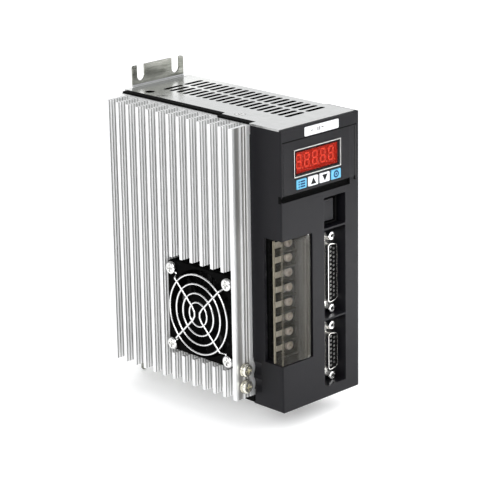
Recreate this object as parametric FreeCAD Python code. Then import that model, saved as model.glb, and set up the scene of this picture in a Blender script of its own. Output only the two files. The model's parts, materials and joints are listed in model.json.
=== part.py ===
"""Panel-mounted servo drive: finned heatsink with fan, sheet-metal covers, moulded front housing.

Frame used while modelling: X to the right, Y to the back, Z up, with zero at the lower left
front corner of the front housing. Every part is moved to the row's own origin, the middle of
the rear mounting face, when it is written. All lengths are millimetres.
"""
import FreeCAD, Part

import math
import os

V = FreeCAD.Vector

# ---- driving dimensions -------------------------------------------------------------------
HOUSING_RIGHT = 69.6          # right side of the front housing
CASE_RIGHT = 65.9             # right side of the sheet-metal case behind it
HEIGHT = 178.5                # front housing
HOUSING_RIM = 178.9           # housing wall beside the top cover
DEPTH = 148.0                 # front face to rear mounting face
HOUSING_DEPTH = 25.4          # side of the front housing
WALL = 2.2                    # moulded wall of the front housing
SHEET = 1.2                   # sheet metal
COVER_TOP = 179.1             # outer face of the top cover
COVER_BOTTOM = 0.4            # outer face of the bottom cover
GAP = 0.25                    # seam between two fitted pieces

FIN_TIP = -14.3               # outer face of the fins
FIN_ROOT = 3.0                # where the fins meet the base
BASE_INNER = 10.0             # inner face of the heatsink's base
FIN_PITCH = 9.2
FIN_COUNT = 12
FIRST_FIN = 37.0              # middle of the fin nearest the front
SINK_BOTTOM = 5.2
SINK_TOP = 177.8
FLANGE_FRONT = HOUSING_DEPTH + 0.9
FLANGE_DEPTH = 3.0
SINK_BACK = 145.4
SINK_LIP = 146.75             # lip of the base that closes against the rear panel
# grooves of the front flange: start and end across, and depth
FLANGE_GROOVES = ((-2.4, -4.4, 0.6), (-4.6, -6.6, 0.6), (-7.2, -13.4, 0.35))

COVER_SCREWS = ((12.4, 116.5), (11.8, 45.8))
SCREW_RECESS = 0.5            # cover screws sit this deep in their dimples
SCREW_RECESS_R = 3.3
GROUND_SCREWS = ((-7.0, 24.0), (-7.0, 13.2))
GROUND_RECESS_R = 8.2         # hollow in the housing round each ground screw
REAR_SCREWS = [(x, z) for x in (13.6, 59.6) for z in (38.0, 141.0)]

FAN_Y = 61.0                  # fan axis
FAN_Z = 53.1
FAN_SIZE = 59.2
FAN_HOLE = 25.0               # half the fan's hole spacing
FAN_FRONT = -9.6
FAN_BACK = 0.4
FAN_CENTRE = (FAN_Y, FAN_Z)
FAN_CORNERS = [(FAN_Y + a * FAN_HOLE, FAN_Z + b * FAN_HOLE) for a in (-1, 1) for b in (-1, 1)]
BORE = 28.2                   # air passage, radius
HUB = 13.0
BLADES = 7
BLADE_PITCH = 38              # degrees
SHAFT = 1.5
GUARD_RINGS = (25.7, 19.7, 13.7, 7.8)
GUARD_X = -12.6               # plane of the guard's rings
GUARD_SPOKE_X = -13.5
GUARD_EYE_X = -10.35
WIRE = 0.62
EYE = 2.6

EAR_MIDDLE = 37.3             # middle of the mounting ears, across
EAR_WIDTH = 44.0
EAR_REACH = 14.0              # ear beyond the cover's face
EAR_SLOT_PITCH = 30.0
EAR_SLOT_WIDTH = 6.6
EAR_SLOT_DEPTH = 10.3

BAY_RIGHT = 26.6              # terminal bay opening
BAY_BACK = 15.3
BAY_BOTTOM = 30.2
BAY_TOP = 110.0
POLES = 8
POLE_PITCH = 9.5
BLOCK_MIDDLE = (BAY_BOTTOM + BAY_TOP) / 2
BARRIER = 1.6                 # wall between two poles
BLOCK_ACROSS = (4.0, 25.2)    # terminal block
BLOCK_BACK_X = 22.0           # left side of its high back
PLATE_Y = (13.5, 14.38)       # clamping plates
SCREW_X = 18.3                # terminal screws
HINGE_X = 24.0
HINGE_Y = 1.6
PIN = 0.8                     # hinge pin radius

POCKET = (37.0, 56.0)         # connector column, across
POCKET_FLOOR = 10.0
POCKET_BACK = 11.6
POCKETS = ((7.15, 50.6), (51.7, 108.9), (110.1, 129.7))
CONNECTOR_X = 49.5
DSUB_LARGE_Z = 78.3
DSUB_SMALL_Z = 26.8
JACK_LARGE = 47.04            # jackscrew spacing, 25-way shell
JACK_SMALL = 33.32            # jackscrew spacing, 15-way shell
DSUB_WIDE = 8.3
DSUB_LARGE = 38.9
DSUB_SMALL = 25.2
DSUBS = ((DSUB_LARGE_Z, DSUB_LARGE, JACK_LARGE), (DSUB_SMALL_Z, DSUB_SMALL, JACK_SMALL))
DSUB_FRONT = 4.6              # face of the connectors' shells
DSUB_FLANGE = (9.15, 9.95)
DSUB_FLANGE_MARGIN = 3.8      # flange length beyond the jackscrew spacing
JACK_FRONT = 5.4
JACK_ACROSS = 5.0             # across the hexagon's flats
JACK_HOLE = 1.2
JACK_LENGTH = 5.5
PORT_X = (38.4, 51.2)         # modular port
PORT_Z = (111.4, 128.8)

PANEL_BOTTOM = 138.0          # operator panel
PANEL_TOP = 170.7
BUTTON_X = (17.4, 27.4, 37.4, 47.4)
BUTTON_Z = 142.9
BUTTON_NAMES = ("mode_button", "up_button", "down_button", "set_button")
WINDOW = ((12.9, 50.1), (148.9, 163.3))
DIGITS = 5
DIGIT_PITCH = 7.0
PANEL_BOARD_Y = (8.0, 9.6)
PANEL_BOARD_SCREWS = ((9.5, 165.0), (57.5, 165.0), (57.5, 142.0))

POWER_BOARD_X = (20.0, 21.6)  # inside layout
POWER_PARTS_X = 21.7          # foot of the parts that stand on the power board
CONTROL_BOARD_X = (56.2, 57.8)
BOARD_Y_BACK = 142.0
BOARD_TOP = 168.0
STANDOFFS = [(33.0, 20.0), (33.0, 162.0), (138.0, 20.0), (138.0, 162.0)]
PAD = 0.4                     # thermal pad
MODULE_Y = (58.0, 106.0)
MODULE_Z = (58.0, 108.0)
MODULE_THICK = 8.0
RECTIFIER_Y = (64.0, 98.0)
RECTIFIER_Z = (122.0, 150.0)
RECTIFIER_THICK = 7.0
MODULE_SCREWS = [(61.5, 61.5), (102.5, 104.5), (67.0, 125.0), (95.0, 147.0)]

OUT_LEFT = V(-1, 0, 0)
OUT_RIGHT = V(1, 0, 0)
OUT_FRONT = V(0, -1, 0)
OUT_BACK = V(0, 1, 0)
OUT_TOP = V(0, 0, 1)
OUT_BOTTOM = V(0, 0, -1)

ORIGIN = V(EAR_MIDDLE, DEPTH, (COVER_TOP + COVER_BOTTOM) / 2)

parts = {}


# ---- helpers ------------------------------------------------------------------------------
def box(x, y, z):
    """A box between two values on each axis."""
    size = [hi - lo for lo, hi in (x, y, z)]
    return Part.makeBox(*size, V(x[0], y[0], z[0]))


def rod(axis, centre, radius, span):
    """A cylinder along an axis; centre gives the two other coordinates in X, Y, Z order."""
    a, b = centre
    start = {"x": V(span[0], a, b), "y": V(a, span[0], b), "z": V(a, b, span[0])}[axis]
    way = {"x": V(1, 0, 0), "y": V(0, 1, 0), "z": V(0, 0, 1)}[axis]
    return Part.makeCylinder(radius, span[1] - span[0], start, way)


def ring(axis, centre, outer, inner, span):
    reach = (span[0] - 1, span[1] + 1)
    return rod(axis, centre, outer, span).cut(rod(axis, centre, inner, reach))


def rounded(shape, radius, axis, keep=lambda middle: True):
    """Fillet the straight edges along an axis whose middle passes the test."""
    index = "xyz".index(axis)
    chosen = []
    for edge in shape.Edges:
        if len(edge.Vertexes) != 2:
            continue
        run = edge.Vertexes[1].Point - edge.Vertexes[0].Point
        straight = abs(edge.Length - run.Length) < 1e-3
        if straight and abs(run[index]) > 0.999 * run.Length and keep(edge.CenterOfMass):
            chosen.append(edge)
    return shape.makeFillet(radius, chosen)


def plate_outline(points, thickness_way):
    """Extrude a closed polygon along a vector."""
    return Part.Face(Part.makePolygon(points + [points[0]])).extrude(thickness_way)


def slot_along_x(x, y, z, width):
    """A slot with round ends whose long way is X, cut along Z."""
    half = width / 2
    body = box((x[0] + half, x[1] - half), (y - half, y + half), z)
    ends = [rod("z", (end, y), half, z) for end in (x[0] + half, x[1] - half)]
    return body.multiFuse(ends)


def pan_screw(head_radius, head_height, shank_radius, shank_length):
    """A pan-head cross-recess screw pointing down -Z, with the head's seat at zero."""
    head = rod("z", (0, 0), head_radius, (0, head_height))
    head = rounded_rim(head, "z", head_height, head_height * 0.45)
    arm = head_radius * 0.62
    slot = head_radius * 0.15
    floor = head_height * 0.25
    for a, b in ((arm, slot), (slot, arm)):
        head = head.cut(box((-a, a), (-b, b), (floor, head_height + 1)))
    return head.fuse(rod("z", (0, 0), shank_radius, (-shank_length, 0)))


def placed(shape, way, position):
    """A copy turned so that its own +Z points along way, then moved."""
    copy = shape.copy()
    turn = FreeCAD.Rotation(V(0, 0, 1), way)
    copy.Placement = FreeCAD.Placement(position, turn)
    return copy


def group(solids):
    return Part.makeCompound(solids)


def cut_each(body, cutters):
    for cutter in cutters:
        body = body.cut(cutter)
    return body


def rounded_rim(shape, axis, place, radius):
    """Fillet the edges that lie at one place along an axis."""
    rim = [edge for edge in shape.Edges if abs(getattr(edge.CenterOfMass, axis) - place) < 0.01]
    return shape.makeFillet(radius, rim)


# ---- heatsink -----------------------------------------------------------------------------
def rippled(start, end, count, depth):
    """Shallow arcs from start to end, hollow to the left of that direction."""
    step = (end - start) / count
    side = V(-step.y, step.x, 0).normalize() * depth
    edges = []
    for k in range(count):
        a = start + step * k
        b = a + step
        edges.append(Part.Arc(a, (a + b) / 2 + side, b).toShape())
    return edges


def heatsink():
    tip_half, root_half = 1.25, 1.7
    ripples, ripple_depth = 8, 0.38
    rib_depth, rib_half = 6.0, 4.2
    flange_tip = FLANGE_FRONT + FLANGE_DEPTH
    flange_root = flange_tip + 1.3
    edges = []

    def line(*points):
        for a, b in zip(points, points[1:]):
            edges.append(Part.LineSegment(a, b).toShape())

    front = FLANGE_FRONT
    corner = V(BASE_INNER, front)
    for start, end, sink in FLANGE_GROOVES:
        line(corner, V(start, front))
        corner = V(end, front)
        deepest = V((start + end) / 2, front + sink)
        edges.append(Part.Arc(V(start, front), deepest, corner).toShape())
    line(corner, V(FIN_TIP, front), V(FIN_TIP, flange_tip))
    last = V(FIN_ROOT, flange_root)
    edges.extend(rippled(V(FIN_TIP, flange_tip), last, ripples, -ripple_depth))
    for k in range(FIN_COUNT):
        middle = FIRST_FIN + FIN_PITCH * k
        near_root = V(FIN_ROOT, middle - root_half)
        near_tip = V(FIN_TIP, middle - tip_half)
        far_tip = V(FIN_TIP, middle + tip_half)
        far_root = V(FIN_ROOT, middle + root_half)
        line(last, near_root)
        edges.extend(rippled(near_root, near_tip, ripples, -ripple_depth))
        line(near_tip, far_tip)
        edges.extend(rippled(far_tip, far_root, ripples, -ripple_depth))
        last = far_root
    lip = (FIN_ROOT + BASE_INNER) / 2
    corner = V(BASE_INNER, SINK_LIP)
    line(last, V(FIN_ROOT, SINK_BACK), V(lip, SINK_BACK), V(lip, SINK_LIP), corner)
    for _, y in COVER_SCREWS:
        rib = BASE_INNER + rib_depth
        line(corner, V(BASE_INNER, y + rib_half), V(rib, y + rib_half), V(rib, y - rib_half),
             V(BASE_INNER, y - rib_half))
        corner = V(BASE_INNER, y - rib_half)
    line(corner, V(BASE_INNER, front))

    outline = Part.Wire(Part.__sortEdges__(edges))
    body = Part.Face(outline).extrude(V(0, 0, SINK_TOP - SINK_BOTTOM))
    body.translate(V(0, 0, SINK_BOTTOM))
    cutters = [box((FIN_TIP - 1, FAN_BACK + 0.3), (30.7, 90.75), (22.8, 86.4))]
    for y in (FAN_Y - FAN_HOLE, FAN_Y + FAN_HOLE):
        for z in (FAN_Z - FAN_HOLE, FAN_Z + FAN_HOLE):
            cutters.append(rod("x", (y, z), 1.75, (-1.0, 7.0)))
    for x, y in COVER_SCREWS:
        cutters.append(rod("z", (x, y), 1.25, (SINK_TOP - 9.0, SINK_TOP + 1)))
        cutters.append(rod("z", (x, y), 1.25, (SINK_BOTTOM - 1, SINK_BOTTOM + 7.0)))
    for x, z in GROUND_SCREWS:
        cutters.append(rod("y", (x, z), 2.0, (front - 1, front + 6.5)))
    for y, z in MODULE_SCREWS + STANDOFFS:
        cutters.append(rod("x", (y, z), 1.25, (BASE_INNER - 5.0, BASE_INNER + 1)))
    return body.cut(group(cutters))


# ---- sheet-metal covers -------------------------------------------------------------------
def cover(top):
    """The top cover, or the bottom one as its mirror image: a vented sheet whose back turns
    out into a mounting ear and whose right edge turns in over the side panel."""
    skin = COVER_TOP
    under = skin - SHEET
    rear_left, front_left = 9.0, 5.5
    step_y, housing_y = 56.0, HOUSING_DEPTH + 0.5
    right = CASE_RIGHT
    ear = (EAR_MIDDLE - EAR_WIDTH / 2, EAR_MIDDLE + EAR_WIDTH / 2)
    relief = 0.8
    bend = 1.5
    fold = DEPTH - SHEET - bend
    points = [V(0.0, 1.3), V(right, 1.3), V(right, housing_y), V(right - SHEET, housing_y),
              V(right - SHEET, DEPTH - 0.1), V(ear[1] + relief, DEPTH - 0.1),
              V(ear[1] + relief, fold), V(ear[0] - relief, fold),
              V(ear[0] - relief, DEPTH - 0.1), V(rear_left, DEPTH - 0.1),
              V(rear_left, step_y), V(front_left, step_y - 1.0),
              V(front_left, housing_y), V(0.0, housing_y)]
    for point in points:
        point.z = under
    sheet = plate_outline(points, V(0, 0, SHEET))

    flange = box((right - SHEET, right), (housing_y, DEPTH - 0.1), (skin - 12.0, under))
    turn = rod("y", (right - SHEET, under), SHEET, (housing_y, DEPTH - 0.1))
    turn = turn.common(box((right - SHEET, right), (housing_y, DEPTH - 0.1), (under, skin)))

    upright = box(ear, (DEPTH - SHEET, DEPTH), (skin + bend, skin + EAR_REACH))
    upright = rounded(upright, 1.6, "y", lambda m: m.z > skin + EAR_REACH - 1)
    corner = ring("x", (fold, skin + bend), bend + SHEET, bend, ear)
    corner = corner.common(box(ear, (fold, DEPTH), (under, skin + bend)))
    for side in (-1, 1):
        x = EAR_MIDDLE + side * EAR_SLOT_PITCH / 2
        half = EAR_SLOT_WIDTH / 2
        floor = skin + EAR_REACH - EAR_SLOT_DEPTH + half
        through = (DEPTH - SHEET - 1, DEPTH + 1)
        upright = upright.cut(rod("y", (x, floor), half, through))
        upright = upright.cut(box((x - half, x + half), through, (floor, skin + 20)))

    body = sheet.multiFuse([flange, turn, upright, corner]).removeSplitter()
    cutters = []
    through = (under - 1, skin + 1)
    for row in range(19):
        y = 128.6 - 6.0 * row
        for left in (25.4, 43.4):
            cutters.append(slot_along_x((left, left + 15.7), y, through, 3.5))
    cutters.append(rod("z", (15.2, 130.9), 3.0, through))
    for x, y in COVER_SCREWS:
        cutters.append(rod("z", (x, y), 1.7, through))
        cutters.append(rod("z", (x, y), SCREW_RECESS_R, (skin - SCREW_RECESS, skin + 1)))
    body = body.cut(group(cutters))
    if not top:
        middle = (COVER_TOP + COVER_BOTTOM) / 2
        body = body.mirror(V(0, 0, middle), V(0, 0, 1))
        body = body.cut(box((-1, right + 1), (-1, housing_y), (-5, 20)))
    return body


def side_panel():
    """Right wall of the case, inside the covers' turned edges, with a grille of slots."""
    x = (CASE_RIGHT - 2 * SHEET, CASE_RIGHT - SHEET)
    panel = box(x, (HOUSING_DEPTH + 0.3, DEPTH - SHEET - 0.1),
                (COVER_BOTTOM + SHEET, COVER_TOP - SHEET))
    slots = []
    for row in range(9):
        y = 50.0 + 9.0 * row
        slots.append(box((x[0] - 1, x[1] + 1), (y - 1.4, y + 1.4), (28.0, 62.0)))
    return panel.cut(group(slots))


def rear_panel():
    """Back wall of the case, flush with the ears' mounting face."""
    panel = box((9.0, CASE_RIGHT - SHEET), (DEPTH - SHEET, DEPTH),
                (COVER_BOTTOM + SHEET + 0.05, COVER_TOP - SHEET - 0.05))
    holes = [rod("y", (x, z), 1.6, (DEPTH - 3, DEPTH + 1)) for x, z in REAR_SCREWS]
    cones = [Part.makeCone(1.6, 3.0, 1.2, V(x, DEPTH - 1.2, z), V(0, 1, 0)) for x, z in REAR_SCREWS]
    return panel.cut(group(holes)).cut(group(cones))


def rear_screws():
    screws = []
    for x, z in REAR_SCREWS:
        head = Part.makeCone(1.5, 2.9, 1.15, V(x, DEPTH - 1.2, z), V(0, 1, 0))
        shank = rod("y", (x, z), 1.4, (DEPTH - 5.6, DEPTH - 1.2))
        screws.append(head.fuse(shank))
    return group(screws)


def rear_brackets():
    """Angle pieces that carry the rear panel's screws, on the heatsink side and the right."""
    solids = []
    for x, z in REAR_SCREWS:
        block = box((x - 3.5, x + 3.5), (DEPTH - 5.8, DEPTH - SHEET - 0.05), (z - 4, z + 4))
        solids.append(block.cut(rod("y", (x, z), 1.45, (DEPTH - 9, DEPTH))))
    return group(solids)


def cover_screws():
    screw = pan_screw(3.15, 0.6, 1.2, 7.0)
    solids = []
    for x, y in COVER_SCREWS:
        solids.append(placed(screw, OUT_TOP, V(x, y, COVER_TOP - SCREW_RECESS)))
        solids.append(placed(screw, OUT_BOTTOM, V(x, y, COVER_BOTTOM + SCREW_RECESS)))
    return group(solids)


def edge_seals():
    """Black strips that close the heatsink's joints with the covers and the front housing."""
    solids = []
    for x, y in (((4.5, 8.95), (56.6, 145.0)), ((1.0, 5.45), (HOUSING_DEPTH + 1.0, 54.6))):
        solids.append(box(x, y, (SINK_TOP + 0.02, COVER_TOP - 0.05)))
        solids.append(box(x, y, (COVER_BOTTOM + 0.05, SINK_BOTTOM - 0.02)))
    solids.append(box((0.3, 6.0), (HOUSING_DEPTH + 0.02, FLANGE_FRONT - 0.02), (30.0, 172.0)))
    return group(solids)


# ---- front housing ------------------------------------------------------------------------
def panel_outline(gap, y, depth):
    """The operator panel's outline: a rectangle whose lower right corner drops away."""
    left, right = 2.0 + gap, 65.4 - gap
    low, high = PANEL_BOTTOM - 0.3 + gap, PANEL_TOP + 0.25 - gap
    drop = 2.2
    points = [V(left, y, low), V(60.0, y, low), V(right, y, low - drop), V(right, y, high),
              V(left, y, high)]
    return plate_outline(points, V(0, depth, 0))


def front_housing():
    side, front, corner = 3.0, 0.9, 2.4
    cheek = CASE_RIGHT + 0.2
    block = box((0, HOUSING_RIGHT), (0, HOUSING_DEPTH), (0, HOUSING_RIM))
    plan = rounded(block, side, "z", lambda m: m.x > HOUSING_RIGHT - 1 and m.y < 1)
    plan = rounded(plan, front, "z", lambda m: m.x < 1 and m.y < 1)
    face = rounded(block, corner, "y", lambda m: m.x > HOUSING_RIGHT - 1 and m.z < 1)
    face = rounded(face, side, "y", lambda m: m.x > HOUSING_RIGHT - 1 and m.z > HEIGHT)
    face = rounded(face, front, "y", lambda m: m.x < 1 and m.z < 1)
    outer = plan.common(face)
    outer = outer.cut(box((-1, cheek), (-1, 1.2), (HEIGHT, HEIGHT + 5)))
    outer = outer.cut(box((-1, cheek), (1.2, 30), (COVER_TOP - SHEET - 0.02, HEIGHT + 5)))

    hollow = box((WALL, cheek), (WALL, HOUSING_DEPTH + 1), (WALL, COVER_TOP - SHEET - 2.0))
    shell = outer.cut(hollow)
    lip = box((0.5, cheek + 1), (1.8, 4.0), (132.0, 173.0))
    bay = box((0.0, 29.0), (0.0, HOUSING_DEPTH), (BAY_BOTTOM - 1.8, BAY_TOP + 1.8))
    column = box((POCKET[0] - 1.6, POCKET[1] + 1.6), (1.0, POCKET_BACK), (5.9, 131.4))
    body = shell.multiFuse([lip, bay.common(outer), column])

    cutters = [panel_outline(0.0, -1.0, 3.0)]
    cutters.append(box((6.0, 61.0), (0.0, 6.0), (139.4, 168.0)))
    groove = rod("x", (-0.2, 135.9), 2.1, (2.0, 60.0))
    cutters.append(groove.fuse(Part.makeSphere(2.1, V(2.0, -0.2, 135.9))))

    bay_z = (BAY_BOTTOM, BAY_TOP)
    cutters.append(box((-1.0, BAY_RIGHT), (-1.0, HINGE_Y + 2.6), bay_z))
    cutters.append(box((-1.0, 27.4), (HINGE_Y + 2.6, BAY_BACK), bay_z))
    cutters.append(box((WALL, 27.4), (BAY_BACK - 1, 23.8), bay_z))
    cutters.append(box((16.0, 27.0), (23.0, HOUSING_DEPTH + 1), (34.0, 106.0)))
    for z in ((BAY_BOTTOM - 4.0, BAY_BOTTOM + 1), (BAY_TOP - 1, BAY_TOP + 4.0)):
        cutters.append(rod("z", (HINGE_X, HINGE_Y), PIN, z))

    for low, high in POCKETS:
        pocket = box(POCKET, (-1.0, POCKET_FLOOR), (low, high))
        cutters.append(rounded(pocket, 0.8, "y"))
    for middle, length, spacing in DSUBS:
        through = (POCKET_FLOOR - 1, POCKET_BACK + 1)
        half_wide, half_long = DSUB_WIDE / 2 + 0.3, length / 2 + 0.3
        cutters.append(box((CONNECTOR_X - half_wide, CONNECTOR_X + half_wide), through,
                           (middle - half_long, middle + half_long)))
        for side in (-1, 1):
            z = middle + side * spacing / 2
            cutters.append(rod("y", (CONNECTOR_X, z), 1.6, through))
    cutters.append(box((PORT_X[0] - 0.2, PORT_X[1] + 0.2), (POCKET_FLOOR - 1, POCKET_FLOOR + 3),
                       (PORT_Z[0] - 0.2, PORT_Z[1] + 0.2)))
    for x, z in GROUND_SCREWS:
        cutters.append(rod("y", (x, z), GROUND_RECESS_R, (18.4, HOUSING_DEPTH + 1)))
    cutters.append(box((-1, 1.1), (24.2, 26), (1.6, 9.6)))
    return cut_each(body, cutters)


def operator_panel():
    """Separate moulded face that holds the display and guides the buttons."""
    body = panel_outline(GAP, 0.0, 1.95)
    bevel = plate_outline([V(59.4, -0.01, 130), V(66.0, -0.01, 130), V(66.0, 0.45, 130)], V(0, 0, 50))
    body = body.cut(bevel)
    (x0, x1), (z0, z1) = WINDOW
    cutters = [box((x0 - 0.9, x1 + 0.9), (-1.0, 0.35), (z0 - 0.9, z1 + 0.9)),
               box((x0, x1), (-1.0, 1.6), (z0, z1)),
               box((x0 + 1.0, x1 - 1.0), (-1.0, 3.0), (z0 + 1.0, z1 - 1.0)),
               box((x0 - 2.0, x1 + 2.0), (-1.0, 0.5), (z0 - 1.6, z1 + 1.6))]
    for x in BUTTON_X:
        hole = box((x - 4.45, x + 4.45), (-1.0, 4.0), (BUTTON_Z - 3.2, BUTTON_Z + 3.2))
        cutters.append(rounded(hole, 0.7, "y"))
    return cut_each(body, cutters)


def display_bezel():
    (x0, x1), (z0, z1) = WINDOW
    outer = box((x0 - 1.95, x1 + 1.95), (-0.35, 0.48), (z0 - 1.55, z1 + 1.55))
    outer = rounded(outer, 0.9, "y")
    inner = box((x0 - 1.3, x1 + 1.3), (-1.0, 1.0), (z0 - 0.9, z1 + 0.9))
    return outer.cut(inner)


def display_lens():
    (x0, x1), (z0, z1) = WINDOW
    return box((x0 + 0.05, x1 - 0.05), (0.45, 1.58), (z0 + 0.05, z1 - 0.05))


def display_module():
    """Display block behind the lens."""
    return box((14.2, 48.8), (2.2, PANEL_BOARD_Y[0] - 0.1), (150.0, 162.2))


def display_segments():
    """Seven bars and a dot for each digit, standing just proud of the display block."""
    bar, thin = 3.0, 0.8
    solids = []
    y = (2.0, 2.2)
    for k in range(DIGITS):
        x = 31.5 + (k - (DIGITS - 1) / 2) * DIGIT_PITCH
        for z in (152.0, 156.1, 160.2):
            solids.append(box((x - bar / 2, x + bar / 2), y, (z - thin / 2, z + thin / 2)))
        for side in (-1, 1):
            for z in (154.05, 158.15):
                middle = x + side * (bar / 2 + 0.35)
                solids.append(box((middle - thin / 2 + 0.1, middle + thin / 2 - 0.1), y,
                                  (z - bar / 2, z + bar / 2)))
        solids.append(rod("y", (x + bar / 2 + 1.7, 151.8), 0.5, y))
    return group(solids)


def nameplate():
    plate = box((20.4, 49.9), (-0.3, -0.02), (171.4, 177.1))
    return rounded(plate, 0.8, "y")


def button(x):
    """Button cap with a retaining flange behind the panel and a stem for its switch."""
    cap = box((x - 4.25, x + 4.25), (-0.5, 2.2), (BUTTON_Z - 3.0, BUTTON_Z + 3.0))
    cap = rounded_rim(rounded(cap, 0.6, "y"), "y", -0.5, 0.3)
    flange = box((x - 4.75, x + 4.75), (2.2, 2.9), (BUTTON_Z - 3.45, BUTTON_Z + 3.45))
    stem = rod("y", (x, BUTTON_Z), 1.4, (2.9, 4.3))
    return cap.multiFuse([flange, stem])


def panel_board():
    board = box((7.0, 60.0), PANEL_BOARD_Y, (139.6, 167.6))
    return cut_each(board, [rod("y", (x, z), 1.3, (7, 11)) for x, z in PANEL_BOARD_SCREWS])


def tact_switches():
    solids = []
    for x in BUTTON_X:
        body = box((x - 3.0, x + 3.0), (5.4, PANEL_BOARD_Y[0]), (BUTTON_Z - 3.0, BUTTON_Z + 3.0))
        solids.append(body.fuse(rod("y", (x, BUTTON_Z), 1.7, (4.75, 5.5))))
    return group(solids)


# ---- connectors ---------------------------------------------------------------------------
def dsub_profile(middle, length, width, y, depth, slant=10.0):
    """The connector's D shape, its long side to the left and its long way up."""
    lean = width * math.tan(math.radians(slant))
    x0, x1 = CONNECTOR_X - width / 2, CONNECTOR_X + width / 2
    half = length / 2
    points = [V(x0, y, middle - half), V(x1, y, middle - half + lean),
              V(x1, y, middle + half - lean), V(x0, y, middle + half)]
    solid = plate_outline(points, V(0, depth, 0))
    return rounded(solid, min(2.2, width / 4), "y")


def dsub_shell(middle, length, spacing):
    """Shell that stands on a flange, which lies on the pocket's floor under the jackscrews."""
    half_flange = (spacing + DSUB_FLANGE_MARGIN) / 2
    flange = box((CONNECTOR_X - 6.2, CONNECTOR_X + 6.2), DSUB_FLANGE,
                 (middle - half_flange, middle + half_flange))
    flange = rounded(flange, 1.2, "y")
    reach = DSUB_FLANGE[1] - DSUB_FRONT
    body = flange.fuse(dsub_profile(middle, length, DSUB_WIDE, DSUB_FRONT, reach))
    body = body.cut(dsub_profile(middle, length - 1.0, DSUB_WIDE - 1.0, 2.0, 12.0))
    for side in (-1, 1):
        z = middle + side * spacing / 2
        body = body.cut(rod("y", (CONNECTOR_X, z), 1.55, (8, 16)))
    return body


def dsub_contacts(middle, count, pitch):
    """Contact positions: the longer row to the left."""
    places = []
    long_row = (count + 1) // 2
    for row, number in ((-1, long_row), (1, count - long_row)):
        for k in range(number):
            z = middle + (k - (number - 1) / 2) * pitch
            places.append((CONNECTOR_X + row * 1.42, z))
    return places


DSUB_CONTACTS = dsub_contacts(DSUB_LARGE_Z, 25, 2.76) + dsub_contacts(DSUB_SMALL_Z, 15, 2.74)


def dsub_insert(middle, length):
    face = DSUB_FRONT + 0.5
    back_face = POCKET_BACK + 0.85
    front = dsub_profile(middle, length - 1.1, DSUB_WIDE - 1.1, face, back_face + 0.2 - face)
    back = box((CONNECTOR_X - 5.0, CONNECTOR_X + 5.0), (back_face, 19.5),
               (middle - length / 2 + 0.4, middle + length / 2 - 0.4))
    body = front.fuse(back)
    for x, z in DSUB_CONTACTS:
        if abs(z - middle) < length / 2:
            body = body.cut(rod("y", (x, z), 0.78, (3.0, 10.0)))
    return body


def connector_contacts():
    solids = []
    for x, z in DSUB_CONTACTS:
        solids.append(ring("y", (x, z), 0.72, 0.45, (DSUB_FRONT + 0.6, 10.0)))
    return group(solids)


def jackscrews():
    """Hex standoffs beside each D-shaped connector, threaded for its plug's screws."""
    radius = JACK_ACROSS / 2 / math.cos(math.radians(30))
    seat = DSUB_FLANGE[0] - 0.02
    solids = []
    for middle, _, spacing in DSUBS:
        for side in (-1, 1):
            z = middle + side * spacing / 2
            corners = []
            for k in range(6):
                turn = math.radians(60 * k)
                corners.append(V(CONNECTOR_X + radius * math.cos(turn), JACK_FRONT,
                                 z + radius * math.sin(turn)))
            body = plate_outline(corners, V(0, seat - JACK_FRONT, 0))
            chamfer = Part.makeCone(radius - 0.4, radius + 9.6, 10.0,
                                    V(CONNECTOR_X, JACK_FRONT, z), V(0, 1, 0))
            body = body.common(chamfer)
            body = body.fuse(rod("y", (CONNECTOR_X, z), 1.45, (seat - 0.1, 15.5)))
            bore = rod("y", (CONNECTOR_X, z), JACK_HOLE, (4.0, JACK_FRONT + JACK_LENGTH))
            solids.append(body.cut(bore))
    return group(solids)


def comm_port():
    """Modular jack on its side: a block with one deep mouth, wider at the plug's latch."""
    body = rounded(box(PORT_X, (3.0, 19.0), PORT_Z), 0.6, "y")
    (x0, x1), (z0, z1) = PORT_X, PORT_Z
    mouth = box((x0 + 0.8, x1 - 1.3), (2.0, 15.5), (z0 + 1.1, z1 - 1.0))
    return body.cut(mouth)


def comm_port_plug():
    """Dust plug in the port: a flat face set back in the mouth, with a wider body behind."""
    (x0, x1), (z0, z1) = PORT_X, PORT_Z
    face = box((x0 + 1.3, x1 - 2.6), (3.5, 6.2), (z0 + 2.0, z1 - 1.9))
    face = rounded(face, 0.4, "y")
    body = box((x0 + 0.85, x1 - 1.35), (6.0, 9.0), (z0 + 1.15, z1 - 1.05))
    return face.fuse(body)


def comm_port_contacts():
    solids = []
    for k in range(8):
        z = (PORT_Z[0] + PORT_Z[1]) / 2 + (k - 3.5) * 1.2
        x = PORT_X[0] + 0.82
        wire = plate_outline([V(x, 9.6, z - 0.25), V(x + 0.45, 9.6, z - 0.25),
                              V(x + 2.4, 15.0, z - 0.25), V(x + 1.95, 15.0, z - 0.25)],
                             V(0, 0, 0.5))
        solids.append(wire)
    return group(solids)


# ---- terminals ----------------------------------------------------------------------------
def pole_z(k):
    return BLOCK_MIDDLE + (k - (POLES - 1) / 2) * POLE_PITCH


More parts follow.
